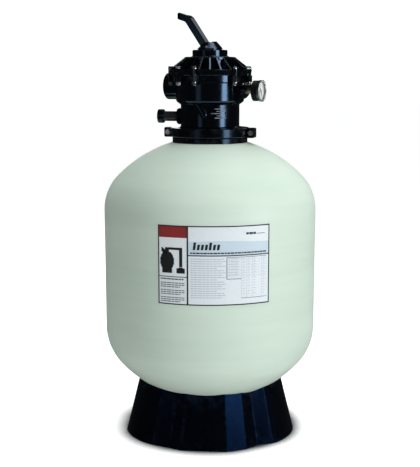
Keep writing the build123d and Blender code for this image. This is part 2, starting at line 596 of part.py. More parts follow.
def standpipe_seal():
    return tube(PIPE_R + BOND, 27.4, 735.5, 739.5)


def diffuser():
    """Slotted basket under the valve that spreads the incoming water."""
    basket = tube(28.6, 59.5, 728, 734.8) + tube(24.6, 59.5, 690, 693) + tube(24.6, 27.5, 690, 705)
    for k in range(16):
        basket += Rot(0, 0, 22.5 * k) * block(52, 59.0, -1.8, 1.8, 692, 730)
    return basket


def lateral_hub():
    hub = bar(HUB_R, 108, 162) + bar(20, 83, 109) - bar(24.3, PIPE_Z0, 170) - bar(19.5, 118, 170)
    for k in range(LATERAL_COUNT):
        hub -= outward(k * 360 / LATERAL_COUNT + 22.5, LATERAL_Z) * bar(8.0, 15, 40)
    return hub


def lateral(k):
    """Slotted collector arm, closed at its outer end."""
    arm = bar(7.9, 27, HUB_R + 1) + bar(LATERAL_R, HUB_R + 0.1, LATERAL_END) - bar(5.6, 20, HUB_R + 2)
    arm -= bar(LATERAL_R - 2.2, HUB_R + 4, LATERAL_END - 3)
    for i in range(15):
        arm -= block(-11, 11, -3.5, 3.5, 46 + 6.5 * i, 47.2 + 6.5 * i)
    return outward(k * 360 / LATERAL_COUNT + 22.5, LATERAL_Z) * arm


# ---------------------------------------------------------------- tank drain
def drain_spigot():
    spigot = bar(12.8, -22, 30) + bar(21, 2.6, 7) - bar(9, -23, 31)
    return drain_plane() * spigot


def drain_gasket():
    return drain_plane() * tube(12.9, 21, -4, 2.5) - tank_volume(-BOND)


def drain_locknut():
    return drain_plane() * (hexagon(36, -14.5, -8.2) - bar(12.9, -20, 0))


def drain_screen():
    """Slotted strainer on the spigot's inner end."""
    screen = bar(12.8, -44, -22.1) - bar(10.6, -42, -20)
    for k in range(6):
        screen -= Rot(0, 0, 60 * k) * block(8, 14, -1, 1, -39, -26)
    return drain_plane() * screen


def drain_cap():
    cap = bar(17.5, 16, 36.5) - bar(13.1, 15, 33.2)
    cap = fillet(cap.edges().filter_by(GeomType.CIRCLE).group_by(Axis.Z)[-1], 1.5)
    for k in range(12):
        cap -= Rot(0, 0, 30 * k) * Pos(18.6, 0, 0) * bar(2.0, 10, 40)
    return drain_plane() * cap


def drain_cap_gasket():
    return drain_plane() * tube(9.2, 12.7, 30.1, 33.1)


# ---------------------------------------------------------------- write the nodes
NODES = {
    "tank_shell": tank_shell, "tank_label": tank_label, "base_skirt": base_skirt,
    "neck_flange": neck_flange, "neck_seal": neck_seal,
    "clamp_half_front": lambda: clamp_half(True), "clamp_half_rear": lambda: clamp_half(False),
    "clamp_bolts": clamp_bolts, "clamp_washers": clamp_washers, "clamp_nuts": clamp_nuts,
    "valve_body": valve_body, "valve_lid": valve_lid, "lid_seal": lid_seal,
    "lid_bolts": lid_bolts, "lid_washers": lid_washers, "lid_nuts": lid_nuts,
    "position_plate": position_plate, "spider_gasket": spider_gasket,
    "rotor": rotor, "spindle_seals": spindle_seals,
    "spring_washer": spring_washer, "lift_spring": lift_spring, "cam_washer": cam_washer,
    "handle_pin": handle_pin, "handle": handle,
    "sight_glass": sight_glass, "sight_cap": sight_cap, "sight_seal": sight_seal,
    "gauge_stem": gauge_stem, "gauge_case": gauge_case, "gauge_bezel": gauge_bezel,
    "gauge_lens": gauge_lens,
    "gauge_dial": gauge_dial, "bourdon_tube": bourdon_tube, "gauge_plate": gauge_plate,
    "gauge_pinion": pinion, "gauge_sector": gear_sector, "gauge_needle": gauge_needle,
    "standpipe": standpipe, "standpipe_seal": standpipe_seal, "diffuser": diffuser,
    "lateral_hub": lateral_hub,
    "drain_spigot": drain_spigot, "drain_gasket": drain_gasket, "drain_locknut": drain_locknut,
    "drain_screen": drain_screen, "drain_cap": drain_cap, "drain_cap_gasket": drain_cap_gasket,
}


def main():
    os.makedirs(PARTS, exist_ok=True)
    for name, make in NODES.items():
        export_step(make(), f"{PARTS}/{name}.step")
    for k in range(LATERAL_COUNT):
        export_step(lateral(k), f"{PARTS}/lateral_{k + 1}.step")


main()
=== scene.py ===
"""Looks for a top-mount sand filter: materials, label artwork, small detail, light and camera."""
import json
from math import asin, cos, pi, radians, sin

import bmesh
import bpy
from mathutils import Euler, Matrix, Vector


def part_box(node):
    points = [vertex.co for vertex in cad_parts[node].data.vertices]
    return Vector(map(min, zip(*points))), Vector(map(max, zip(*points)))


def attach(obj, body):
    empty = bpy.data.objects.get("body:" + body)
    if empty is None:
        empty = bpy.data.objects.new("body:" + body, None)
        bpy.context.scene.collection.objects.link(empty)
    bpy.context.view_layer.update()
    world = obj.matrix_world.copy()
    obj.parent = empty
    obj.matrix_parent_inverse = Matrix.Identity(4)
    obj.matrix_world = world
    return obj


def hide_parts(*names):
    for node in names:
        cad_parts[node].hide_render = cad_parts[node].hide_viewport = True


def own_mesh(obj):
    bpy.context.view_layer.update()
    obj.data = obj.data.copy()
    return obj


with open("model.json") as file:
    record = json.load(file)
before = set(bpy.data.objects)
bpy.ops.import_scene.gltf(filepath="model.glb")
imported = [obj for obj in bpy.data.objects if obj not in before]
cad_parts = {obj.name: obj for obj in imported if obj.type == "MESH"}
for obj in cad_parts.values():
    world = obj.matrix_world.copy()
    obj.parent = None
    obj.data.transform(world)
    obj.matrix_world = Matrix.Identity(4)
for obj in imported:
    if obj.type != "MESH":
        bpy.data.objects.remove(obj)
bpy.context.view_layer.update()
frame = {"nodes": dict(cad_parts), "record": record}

# ---- places, in metres, read from the frame ----
LABEL_LO, LABEL_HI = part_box("tank_label")
TANK_FOOT_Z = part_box("tank_shell")[0].z
DIAL_LO, DIAL_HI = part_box("gauge_dial")
DIAL_CENTRE = (DIAL_LO + DIAL_HI) / 2
GAUGE_AZ = 67.0  # degrees from the front towards the right

# ---- camera: metres, degrees down, and millimetres ----
CAMERA_PLACE = (0.0, -2.383, 0.899)
CAMERA_PITCH = 9.5
LENS, FILM_HEIGHT = 73.0, 36.0
FAR_CLIP = 100.0

# ---- room: how bright it is as soft light, in reflections, and to the camera ----
ROOM_DIFFUSE, ROOM_GLOSSY, ROOM_SEEN = 0.20, 0.02, 1.1
ROOM_COLOUR = (0.94, 1.0, 0.97, 1.0)
LAMP_AIM = Vector((0, 0, 0.62))

# ---- CAD shading: edges sharper than this many degrees stay crisp ----
CRISP_ANGLE = 32


# ---------------------------------------------------------------- node graph helpers
class Graph:
    """A material's node tree, with short calls for the nodes used here."""

    def __init__(self, name):
        self.material = bpy.data.materials.new(name)
        self.material.use_nodes = True
        self.nodes = self.material.node_tree.nodes
        self.links = self.material.node_tree.links
        self.shader = self.nodes["Principled BSDF"]

    def add(self, kind, **values):
        """A node with properties and input values set by name."""
        node = self.nodes.new("ShaderNode" + kind)
        for key, value in values.items():
            if hasattr(node, key):
                setattr(node, key, value)
            else:
                node.inputs[key.replace("_", " ")].default_value = value
        return node

    def join(self, source, target):
        """Links an output socket to an input socket."""
        self.links.new(source, target)

    def place(self, scale=(1, 1, 1)):
        """Object coordinates, stretched by scale."""
        coords = self.add("TexCoord")
        mapping = self.add("Mapping")
        mapping.inputs["Scale"].default_value = scale
        self.join(coords.outputs["Object"], mapping.inputs["Vector"])
        return mapping.outputs["Vector"]

    def noise(self, scale, detail=4.0, stretch=(1, 1, 1)):
        """Cloudy noise from 0 to 1, with scale in waves a metre."""
        node = self.add("TexNoise", Scale=scale, Detail=detail)
        self.join(self.place(stretch), node.inputs["Vector"])
        return node.outputs["Fac"]

    def ramp(self, value, low, high, start=0.0, end=1.0):
        """Maps value between start and end to the range low to high."""
        node = self.add("MapRange")
        for key, number in (("From Min", start), ("From Max", end), ("To Min", low), ("To Max", high)):
            node.inputs[key].default_value = number
        self.join(value, node.inputs["Value"])
        return node.outputs["Result"]

    def mix(self, factor, a, b):
        """Colour a where factor is 0 and b where it is 1; a and b are colours or sockets."""
        node = self.add("Mix", data_type="RGBA")
        sockets = [s for s in node.inputs if s.type == "RGBA"]
        for socket, colour in zip(sockets, (a, b)):
            if isinstance(colour, tuple):
                socket.default_value = (*colour, 1.0)
            else:
                self.join(colour, socket)
        if isinstance(factor, float):
            node.inputs["Factor"].default_value = factor
        else:
            self.join(factor, node.inputs["Factor"])
        return [s for s in node.outputs if s.type == "RGBA"][0]

    def maths(self, operation, a, b):
        """One sum on two sockets or numbers."""
        node = self.add("Math", operation=operation)
        for socket, value in zip(node.inputs, (a, b)):
            if isinstance(value, (int, float)):
                socket.default_value = value
            else:
                self.join(value, socket)
        return node.outputs["Value"]

    def bump(self, heights, distance=0.001):
        """Bump from a list of (height socket, strength), one on the next."""
        normal = None
        for height, strength in heights:
            node = self.add("Bump", Strength=strength, Distance=distance)
            self.join(height, node.inputs["Height"])
            if normal:
                self.join(normal, node.inputs["Normal"])
            normal = node.outputs["Normal"]
        self.join(normal, self.shader.inputs["Normal"])

    def finish(self, colour, rough, **fixed):
        """Joins colour and roughness to the shader, sets its fixed values, and gives the material."""
        self.join(colour, self.shader.inputs["Base Color"])
        self.join(rough, self.shader.inputs["Roughness"])
        for key, value in fixed.items():
            self.shader.inputs[key.replace("_", " ")].default_value = value
        return self.material


# ---------------------------------------------------------------- materials
BLUISH = (0.37, 0.62, 1.0)
NAVY = (0.05, 0.25, 0.85)
WALL_DEEP, WALL_PALE = (0.570, 0.690, 0.600), (0.610, 0.725, 0.635)
DUST = (0.56, 0.57, 0.52)
DUST_HEIGHT = 0.16


def moulded_plastic(name, base, worn, gloss=0.3, grain=900.0, grain_strength=0.12, sheen=BLUISH, ior=1.5):
    """Injection-moulded plastic: fine grain, soft mottling, and paler scuffs along edges."""
    g = Graph(name)
    mottle = g.ramp(g.noise(9.0, detail=5.0), 0.0, 1.0, start=0.35, end=0.7)
    tone = g.mix(mottle, base, tuple(c * 1.35 for c in base))
    edge = g.add("NewGeometry").outputs["Pointiness"]
    worn_edge = g.ramp(edge, 0.0, 1.0, start=0.53, end=0.62)
    worn_patch = g.ramp(g.noise(60.0, detail=3.0), 0.0, 1.0, start=0.45, end=0.62)
    scuff = g.maths("MULTIPLY", worn_edge, worn_patch)
    colour = g.mix(scuff, tone, worn)
    streaks = g.noise(22.0, detail=6.0, stretch=(1, 1, 0.3))
    smear = g.ramp(streaks, gloss - 0.06, gloss + 0.1, start=0.3, end=0.7)
    waviness = g.noise(26.0, detail=2.0)
    g.bump([(g.noise(grain, detail=2.0), grain_strength), (waviness, 0.05)], distance=0.0006)
    return g.finish(colour, smear, IOR=ior, Specular_Tint=(*sheen, 1.0))


def tank_shell_material():
    """Pale grey-green tank wall with faint winding bands, orange peel and dust low down."""
    g = Graph("tank_wall")
    bands = g.noise(10.0, detail=3.0, stretch=(0.3, 0.3, 3.0))
    tone = g.mix(g.ramp(bands, 0.0, 1.0, start=0.35, end=0.65), WALL_DEEP, WALL_PALE)
    specks = g.ramp(g.noise(420.0, detail=2.0), 0.0, 0.35, start=0.66, end=0.78)
    tone = g.mix(specks, tone, (0.55, 0.57, 0.52))
    height = g.add("SeparateXYZ")
    g.join(g.place(), height.inputs["Vector"])
    low = g.ramp(height.outputs["Z"], 0.30, 0.0, start=TANK_FOOT_Z, end=TANK_FOOT_Z + DUST_HEIGHT)
    dust = g.maths("MULTIPLY", low, g.ramp(g.noise(30.0, detail=6.0), 0.0, 1.0, start=0.4, end=0.7))
    colour = g.mix(dust, tone, DUST)
    rough = g.ramp(g.noise(14.0, detail=5.0), 0.46, 0.58, start=0.3, end=0.7)
    orange_peel = g.noise(95.0, detail=2.0)
    winding = g.noise(7.0, detail=2.0, stretch=(0.4, 0.4, 2.2))
    g.bump([(orange_peel, 0.10), (winding, 0.12)], distance=0.0012)
    return g.finish(colour, rough, IOR=1.46, Coat_Weight=0.06, Coat_Roughness=0.3)


def brushed_metal(name, base, dark, rough=0.24):
    """Turned or rolled metal with fine scratches and dull patches."""
    g = Graph(name)
    scratch = g.noise(700.0, detail=3.0, stretch=(1, 1, 8))
    patch = g.noise(80.0, detail=4.0)
    colour = g.mix(g.ramp(patch, 0.0, 0.55, start=0.4, end=0.7), base, dark)
    g.bump([(scratch, 0.12)], distance=0.0003)
    return g.finish(colour, g.ramp(scratch, rough - 0.06, rough + 0.14, start=0.3, end=0.7), Metallic=1.0)


def rubber():
    """Black rubber with a grey bloom in patches."""
    g = Graph("seal_rubber")
    bloom = g.ramp(g.noise(120.0, detail=4.0), 0.0, 0.6, start=0.45, end=0.75)
    colour = g.mix(bloom, (0.016, 0.016, 0.017), (0.055, 0.055, 0.055))
    g.bump([(g.noise(900.0, detail=2.0), 0.15)], distance=0.0004)
    return g.finish(colour, g.ramp(bloom, 0.55, 0.8), IOR=1.5)


def clear_plastic(name, tint, rough, weight):
    """Clear or smoked plastic with a light haze of fine scratches."""
    g = Graph(name)
    haze = g.noise(300.0, detail=4.0, stretch=(1, 1, 3))
    colour = g.mix(g.ramp(haze, 0.0, 0.4, start=0.5, end=0.8), tint, tuple(c * 0.8 for c in tint))
    g.bump([(haze, 0.03)], distance=0.0003)
    spread = g.ramp(haze, rough, rough + 0.08, start=0.4, end=0.8)
    return g.finish(colour, spread, Transmission_Weight=weight, IOR=1.49)


def thin_window():
    """Thin clear sheet that lets lamp light through to what is behind it, with a faint haze."""
    g = Graph("thin_window")
    haze = g.noise(260.0, detail=4.0, stretch=(1, 1, 3))
    g.join(g.ramp(haze, 0.05, 0.16, start=0.45, end=0.8), g.shader.inputs["Alpha"])
    g.bump([(haze, 0.03)], distance=0.0003)
    colour = g.mix(haze, (0.90, 0.93, 0.94), (0.97, 0.98, 0.98))
    return g.finish(colour, g.ramp(haze, 0.04, 0.12, start=0.4, end=0.8), IOR=1.49)


def enamel(name, base, other, rough=0.45):
    """Thin enamel on metal, slightly uneven."""
    g = Graph(name)
    colour = g.mix(g.ramp(g.noise(150.0, detail=4.0), 0.0, 1.0, start=0.35, end=0.7), base, other)
    g.bump([(g.noise(600.0, detail=2.0), 0.06)], distance=0.0003)
    spread = g.ramp(g.noise(90.0, detail=3.0), rough - 0.05, rough + 0.08, start=0.3, end=0.7)
    return g.finish(colour, spread, IOR=1.5)


def printed(name, ink):
    """Printed label film: ink with slight mottling on a satin surface."""
    g = Graph(name)
    patch = g.ramp(g.noise(240.0, detail=4.0), 0.0, 1.0, start=0.3, end=0.75)
    colour = g.mix(patch, ink, tuple(min(1.0, c * 1.06 + 0.006) for c in ink))
    g.bump([(g.noise(500.0, detail=2.0), 0.04), (g.noise(24.0, detail=2.0), 0.05)], distance=0.0004)
    return g.finish(colour, g.ramp(g.noise(60.0, detail=3.0), 0.28, 0.4, start=0.3, end=0.7), IOR=1.5)


BLACK = (0.0010, 0.0012, 0.0017)
SCUFFED = (0.012, 0.013, 0.015)
MATERIALS = {
    "tank_plastic": tank_shell_material(),
    "base_plastic": moulded_plastic(
        "base_moulding", BLACK, (0.006, 0.010, 0.018),
        gloss=0.26, grain=700.0, grain_strength=0.10, sheen=NAVY,
    ),
    "neck_plastic": moulded_plastic(
        "neck_moulding", BLACK, SCUFFED, gloss=0.17, grain=900.0, grain_strength=0.06,
    ),
    "valve_plastic": moulded_plastic(
        "valve_moulding", BLACK, SCUFFED, gloss=0.12, grain=1100.0, grain_strength=0.03, ior=1.75,
    ),
    "rotor_plastic": moulded_plastic("rotor_moulding", (0.10, 0.10, 0.105), (0.2, 0.2, 0.2), gloss=0.45),
    "plate_plastic": moulded_plastic("plate_moulding", (0.02, 0.021, 0.024), (0.1, 0.1, 0.1), gloss=0.4),
    "washer_plastic": moulded_plastic("washer_moulding", (0.62, 0.62, 0.58), (0.7, 0.7, 0.66), gloss=0.4),
    "underdrain_black": moulded_plastic(
        "underdrain_moulding", (0.02, 0.02, 0.021), (0.08, 0.08, 0.08), gloss=0.5,
    ),
    "pipe_white": moulded_plastic("pipe_wall", (0.70, 0.70, 0.68), (0.74, 0.74, 0.72), gloss=0.4),
    "bolt_steel": brushed_metal("bolt_stainless", (0.78, 0.79, 0.80), (0.50, 0.50, 0.50), rough=0.22),
    "spring_steel": brushed_metal("spring_wire", (0.62, 0.62, 0.62), (0.35, 0.35, 0.35), rough=0.3),
    "gauge_brass": brushed_metal("gauge_fitting", (0.80, 0.74, 0.58), (0.55, 0.46, 0.28), rough=0.26),
    "seal_rubber": rubber(),
    "smoked_clear": clear_plastic("smoked_tube", (0.035, 0.035, 0.04), rough=0.12, weight=0.35),
    "gauge_clear": clear_plastic("gauge_window", (0.96, 0.98, 0.98), rough=0.04, weight=1.0),
    "gauge_black": enamel("gauge_enamel", (0.0012, 0.0012, 0.0014), (0.002, 0.002, 0.0023), rough=0.6),
    "gauge_white": enamel("dial_enamel", (0.80, 0.82, 0.82), (0.84, 0.86, 0.86), rough=0.5),
    "needle_black": enamel("needle_enamel", (0.01, 0.01, 0.01), (0.02, 0.02, 0.02), rough=0.4),
    "label_film": printed("label_paper", (0.70, 0.76, 0.80)),
}
OWN_MATERIALS = {"gauge_lens": thin_window()}
INKS = {
    "black": printed("ink_black", (0.012, 0.012, 0.014)),
    "red": printed("ink_red", (0.24, 0.020, 0.022)),
    "grey": printed("ink_grey", (0.13, 0.14, 0.17)),
    "pale": printed("ink_pale", (0.42, 0.47, 0.54)),
    "blue": printed("ink_blue", (0.52, 0.63, 0.72)),
    # painted highlight: pale strips on the throat's raised marks stand in for the light they catch
    "mark_highlight": enamel("mark_painted_highlight", (0.20, 0.24, 0.28), (0.05, 0.06, 0.075), rough=0.5),
    "dial": enamel("ink_dial", (0.02, 0.02, 0.022), (0.03, 0.03, 0.03), rough=0.5),
}


def paint_cad():
    """Gives every CAD node its own material or its record slot's, and smooth shading up to CRISP_ANGLE."""
    slot_of = {s["node"]: s["material_slot"] for s in frame["record"]["subparts"]}
    for name, node in frame["nodes"].items():
        node.data.materials.clear()
        node.data.materials.append(OWN_MATERIALS.get(name) or MATERIALS[slot_of[name]])
        node.data.shade_smooth()
        node.data.set_sharp_from_angle(angle=radians(CRISP_ANGLE))


# ---------------------------------------------------------------- mesh helpers
def piece(name, mesh_data, material, body):
    """A new object from a bmesh, riding on a body."""
    mesh = bpy.data.meshes.new(name)
    mesh_data.to_mesh(mesh)
    mesh_data.free()
    obj = bpy.data.objects.new(name, mesh)
    bpy.context.scene.collection.objects.link(obj)
    mesh.materials.append(material)
    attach(obj, body)
    return obj


def plate_strip(bm, place, x0, x1, y0, y1, lift, thick, columns):
    """A thin closed slab over a rectangle of the flat artwork, wrapped by place(x, y, height)."""
    grid = []
    for i in range(columns + 1):
        x = x0 + (x1 - x0) * i / columns
        corners = ((y0, lift), (y1, lift), (y1, lift + thick), (y0, lift + thick))
        grid.append([bm.verts.new(place(x, y, h)) for y, h in corners])
    for a, b in zip(grid, grid[1:]):
        for k in range(4):
            m = (k + 1) % 4
            bm.faces.new((a[k], b[k], b[m], a[m]))
    bm.faces.new(grid[0])
    bm.faces.new(reversed(grid[-1]))


def plate_shape(bm, place, points, lift, thick):
    """A thin closed slab over a polygon of the flat artwork."""
    low = [bm.verts.new(place(x, y, lift)) for x, y in points]
    high = [bm.verts.new(place(x, y, lift + thick)) for x, y in points]
    bm.faces.new(reversed(low))
    bm.faces.new(high)
    count = len(points)
    for k in range(count):
        m = (k + 1) % count
        bm.faces.new((low[k], low[m], high[m], high[k]))


# ---------------------------------------------------------------- lift spring
def build_lift_spring():
    """The spring as a piece of its own: a copy of the CAD spring's mesh riding on the tank, with the CAD
    spring hidden.
    """
    coil = bmesh.new()
    coil.from_mesh(frame["nodes"]["lift_spring"].data)
    spring = piece("lift_coil", coil, MATERIALS["spring_steel"], "tank")
    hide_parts("lift_spring")
    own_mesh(spring)


# ---------------------------------------------------------------- label artwork
LABEL_H = LABEL_HI.z - LABEL_LO.z
LABEL_R = -LABEL_LO.y
LABEL_TURN_LO, LABEL_TURN_HI = asin(LABEL_LO.x / LABEL_R), asin(LABEL_HI.x / LABEL_R)
INK_LIFT = 0.00003
INK_T = 0.00008
LAYER_STEP = INK_T * 1.25
FACETS_ACROSS = 48

# ---- label layout: shares of its width (u) and of its height (v) ----
MARGIN = 0.002
EDGE_U, EDGE_V = 0.010, 0.014
IN_U0, IN_U1 = MARGIN + EDGE_U, 1 - MARGIN - EDGE_U
IN_V0, IN_V1 = MARGIN + EDGE_V, 1 - MARGIN - EDGE_V
DIVIDER_LO, DIVIDER_HI = 0.263, 0.276
LEFT_RULE, LEFT_RULE_T = 0.350, 0.009
RIGHT_RULE, RIGHT_RULE_T = 0.622, 0.013
RED_FOOT = 0.845
BAND_TOP, BAND_SWELL, BAND_STEPS = 0.800, 0.012, 14
PICTURE_U, PICTURE_V = 0.086, 0.550
PIPE_U0, PIPE_U1 = 0.196, 0.224
TITLE_U, TITLE_V, TITLE_PITCH, TITLE_HEIGHT = 0.315, 0.700, 0.034, 0.095
TITLE_BLOCKS = (1.0, 0.72, 0.72, 0.72, 1.0, 0.72, 0.72)
PRINT_U = 0.024
FAINT_U, FAINT_TOP, FAINT_PITCH = 0.296, 0.582, 0.0285
FAINT_ENDS = (0.585, 0.600, 0.570, 0.600, 0.520)
WORD_GAP = 0.004
TABLE_LEFT, TABLE_RIGHT = 0.607, 0.971
TABLE_TOP, TABLE_MID, TABLE_FOOT = 0.606, 0.335, 0.090
TABLE_RULES = (0.735, 0.782, 0.834, 0.922)


def on_label(u, v, height):
    """Point on the label's face: u across and v up, both from 0 to 1, and height off its surface."""
    turn = LABEL_TURN_LO + (LABEL_TURN_HI - LABEL_TURN_LO) * u
    r = LABEL_R + height
    return Vector((r * sin(turn), -r * cos(turn), LABEL_LO.z + LABEL_H * v))


def ink(name, colour, strips=(), shapes=(), layer=0):
    """Printed areas of one colour: strips (u0, u1, v0, v1) and closed outlines, lifted by their layer."""
    bm = bmesh.new()
    lift = INK_LIFT + layer * LAYER_STEP
    for u0, u1, v0, v1 in strips:
        facets = max(2, round(FACETS_ACROSS * (u1 - u0)))
        plate_strip(bm, on_label, u0, u1, v0, v1, lift, INK_T, facets)
    for outline in shapes:
        plate_shape(bm, on_label, outline, lift, INK_T)
    return piece(name, bm, INKS[colour], "tank")


def text_line(u0, u1, v, height, word=0.035):
    """One line of print as a row of word-long dashes, unequal but always the same."""
    strips = []
    u, k = u0, 0
    while u < u1:
        end = min(u + word * (0.6 + 0.5 * ((k * 7) % 5) / 4), u1)
        strips.append((u, end, v, v + height))
        u, k = end + WORD_GAP, k + 1
    return strips


def label_frame():
    """Heavy border, the upright divider and one rule across each column."""
    ink("label_frame", "black", [
        (MARGIN, 1 - MARGIN, IN_V1, 1 - MARGIN), (MARGIN, 1 - MARGIN, MARGIN, IN_V0),
        (MARGIN, IN_U0, IN_V0, IN_V1), (IN_U1, 1 - MARGIN, IN_V0, IN_V1),
        (DIVIDER_LO, DIVIDER_HI, IN_V0, IN_V1),
        (IN_U0, DIVIDER_LO, LEFT_RULE, LEFT_RULE + LEFT_RULE_T),
        (DIVIDER_HI, IN_U1, RIGHT_RULE, RIGHT_RULE + RIGHT_RULE_T),
    ], layer=2)


def label_blocks():
    """Red heading block, and the pale blue band with its sloping top."""
    ink("label_red_block", "red", [(IN_U0, DIVIDER_LO, RED_FOOT, IN_V1)])
    width = IN_U1 - DIVIDER_HI
    band = []
    for k in range(BAND_STEPS):
        lo = DIVIDER_HI + width * k / BAND_STEPS
        hi = DIVIDER_HI + width * (k + 1) / BAND_STEPS
        top = BAND_TOP + BAND_SWELL * sin(1.5 * pi * k / BAND_STEPS)
        band.append((lo, hi, RIGHT_RULE + RIGHT_RULE_T, top))
    ink("label_blue_band", "blue", band)


def columns(u0, u1, low, high, count=8):
    """A filled shape as narrow upright strips; low and high give its edges at u."""
    step = (u1 - u0) / count
    mids = [u0 + step * (k + 0.5) for k in range(count)]
    return [(u - step / 2, u + step / 2, low(u), high(u)) for u in mids]


def tank_picture():
    """Small plain picture of a tank on its base, with a valve, a lever and a pipe down to a pump."""
    cu, cv = PICTURE_U, PICTURE_V
    half_w, half_h = 0.064, 0.114
    pipe_top, pipe_foot = 0.692, 0.480
    pump_mid = (PIPE_U0 + PIPE_U1) / 2 - 0.001

    def swell(u):
        """Half the tank's height at u: an oval cut flat at its top and foot."""
        return half_h * min(1.0, 1.12 * max(0.0, 1 - ((u - cu) / half_w) ** 2) ** 0.5)

    tank = columns(cu - half_w, cu + half_w, lambda u: cv - swell(u), lambda u: cv + swell(u), 16)
    base = columns(cu - 0.046, cu + 0.046, lambda u: cv - 0.150, lambda u: cv - 0.095, 4)
    valve = columns(cu - 0.018, cu + 0.018, lambda u: cv + 0.104, lambda u: cv + 0.170, 2)
    lever = columns(cu - 0.052, cu - 0.004, lambda u: cv + 0.150 - u, lambda u: cv + 0.180 - u + cu / 3, 6)
    pipe = columns(cu + 0.018, PIPE_U1, lambda u: pipe_top, lambda u: pipe_top + 0.030, 4)
    drop = columns(PIPE_U0, PIPE_U1, lambda u: pipe_foot, lambda u: pipe_top, 2)
    pump = columns(
        PIPE_U0 - 0.024, PIPE_U1 + 0.022, lambda u: pipe_foot - 0.080,
        lambda u: pipe_foot - 0.6 * abs(u - pump_mid), 4,
    )
    ink("label_picture", "black", tank + base + valve + lever + pipe + drop + pump)


def title_marks():
    """A row of slanted blocks in the place of the large title."""
    width, slant = 0.022, 0.008
    marks = []
    for k, tall in enumerate(TITLE_BLOCKS):
        u = TITLE_U + TITLE_PITCH * k
        head = TITLE_V + TITLE_HEIGHT * tall
        marks.append([(u, TITLE_V), (u + width, TITLE_V), (u + width + slant, head), (u + slant, head)])
    ink("label_title_marks", "black", shapes=marks, layer=1)


def label_text_bars():
    """Dashes that stand for lines of print: heavy under the title, dark on the left, faint on the right."""
    under_title = text_line(0.292, 0.965, 0.652, 0.017, word=0.030)
    corner_bar = text_line(0.775, 0.865, 0.885, 0.026, word=0.04)
    left_heading = text_line(PRINT_U, 0.235, LEFT_RULE - 0.032, 0.014)
    heavy = under_title + corner_bar + left_heading
    dark = text_line(0.872, 0.955, 0.887, 0.009, word=0.02)
    for paragraph in range(3):
        for line in range(3):
            end = 0.205 if line == 2 else 0.242
            dark += text_line(PRINT_U, end, 0.270 - 0.092 * paragraph - 0.025 * line, 0.012)
    faint = []
    for line in range(18):
        end = FAINT_ENDS[line % len(FAINT_ENDS)]
        faint += text_line(FAINT_U, end, FAINT_TOP - FAINT_PITCH * line, 0.009)
    ink("label_print_heavy", "black", heavy, layer=1)
    ink("label_print_dark", "grey", dark)
    ink("label_print_faint", "pale", faint)


def label_table():
    """Ruled table in the right-hand column: a boxed head block and long faint columns beside it."""
    left, block, right = TABLE_LEFT, TABLE_RULES[0], TABLE_RIGHT
    top, mid, foot = TABLE_TOP, TABLE_MID, TABLE_FOOT
    half, half_fine, half_row = 0.003, 0.0012, 0.0014
    box = [
        (left - half, left + half, mid, top), (left, block, mid - 0.004, mid + 0.004),
        (left, right, top - half, top + half), (block, right, foot - half, foot + half),
    ]
    rules = [(u - half_fine, u + half_fine, foot, top) for u in TABLE_RULES]
    rows, entries = 8, []
    for k in range(1, rows):
        v = top + (mid - top) * k / rows
        rules.append((left, right, v - half_row, v + half_row))
        entries += text_line(left + 0.012, block - 0.02, v + 0.012, 0.010, word=0.03)
    for k in range(14):
        v = top - 0.025 - 0.034 * k
        for i, u in enumerate(TABLE_RULES):
            entries.append((u + 0.010, u + 0.026 + 0.006 * ((k + i) % 2), v, v + 0.007))
    ink("label_table_box", "grey", box, layer=1)
    ink("label_table_rules", "pale", rules)
    ink("label_table_entries", "pale", entries)


def build_label():
    """All the printing on the label."""
    label_frame()
    label_blocks()
    tank_picture()
    title_marks()
    label_text_bars()
    label_table()


# ---------------------------------------------------------------- gauge dial
GAUGE_TURN = Matrix.Rotation(radians(GAUGE_AZ), 4, "Z")
SCALE_START, SCALE_SWEEP = 150.0, 270.0
SCALE_STEPS, LONG_EVERY, RING_STEPS = 30, 5, 54
SCALE_OUT_R, LONG_IN_R, SHORT_IN_R = 0.0205, 0.0172, 0.0185
LONG_WIDTH, SHORT_WIDTH = 0.0007, 0.00035
RING_R0, RING_R1, RING_DASH = 0.0166, 0.0168, 0.0017
DIAL_FACE = 0.0003
DIAL_INK_LIFT, DIAL_INK_T = 0.00002, 0.00008


def on_dial(x, y, height):
    """Point on the dial's face: x to the right and y up as one faces it, and height off it."""
    face = DIAL_CENTRE + GAUGE_TURN @ Vector((0, -DIAL_FACE - height, 0))
    return face + GAUGE_TURN @ Vector((x, 0, y))


def dial_stroke(bm, angle, r0, r1, width):
    """Radial stroke at angle degrees clockwise from the top."""
    a = radians(angle)
    along, across = Vector((sin(a), cos(a))), Vector((cos(a), -sin(a)))
    corners = [along * r0 - across * width / 2, along * r0 + across * width / 2]
    corners += [along * r1 + across * width / 2, along * r1 - across * width / 2]
    plate_shape(bm, on_dial, [tuple(c) for c in reversed(corners)], DIAL_INK_LIFT, DIAL_INK_T)


def build_dial():
    """Scale strokes over the needle's sweep, and a ring inside them."""
    bm = bmesh.new()
    for k in range(SCALE_STEPS + 1):
        long = k % LONG_EVERY == 0
        inner, width = (LONG_IN_R, LONG_WIDTH) if long else (SHORT_IN_R, SHORT_WIDTH)
        dial_stroke(bm, SCALE_START + SCALE_SWEEP * k / SCALE_STEPS, inner, SCALE_OUT_R, width)
    for k in range(RING_STEPS):
        angle = SCALE_START + SCALE_SWEEP * (k + 0.5) / RING_STEPS
        dial_stroke(bm, angle, RING_R0, RING_R1, RING_DASH)
    piece("dial_scale", bm, INKS["dial"], "tank")


# ---------------------------------------------------------------- painted highlight on the throat's raised marks
MARK_AZ, MARK_Z, MARK_R = 19.0, 0.807, 0.0775
HIGHLIGHT_LIFT, HIGHLIGHT_T = 0.0001, 0.0002
MARK_LINES = (
    (-0.0145, 0.0145, 0.0098, 0.0122), (-0.0145, 0.0145, -0.0122, -0.0098),
    (-0.0230, 0.0050, -0.0011, 0.0011),
    (-0.0095, 0.0135, 0.0045, 0.0062), (-0.0095, 0.0135, -0.0064, -0.0047),
)


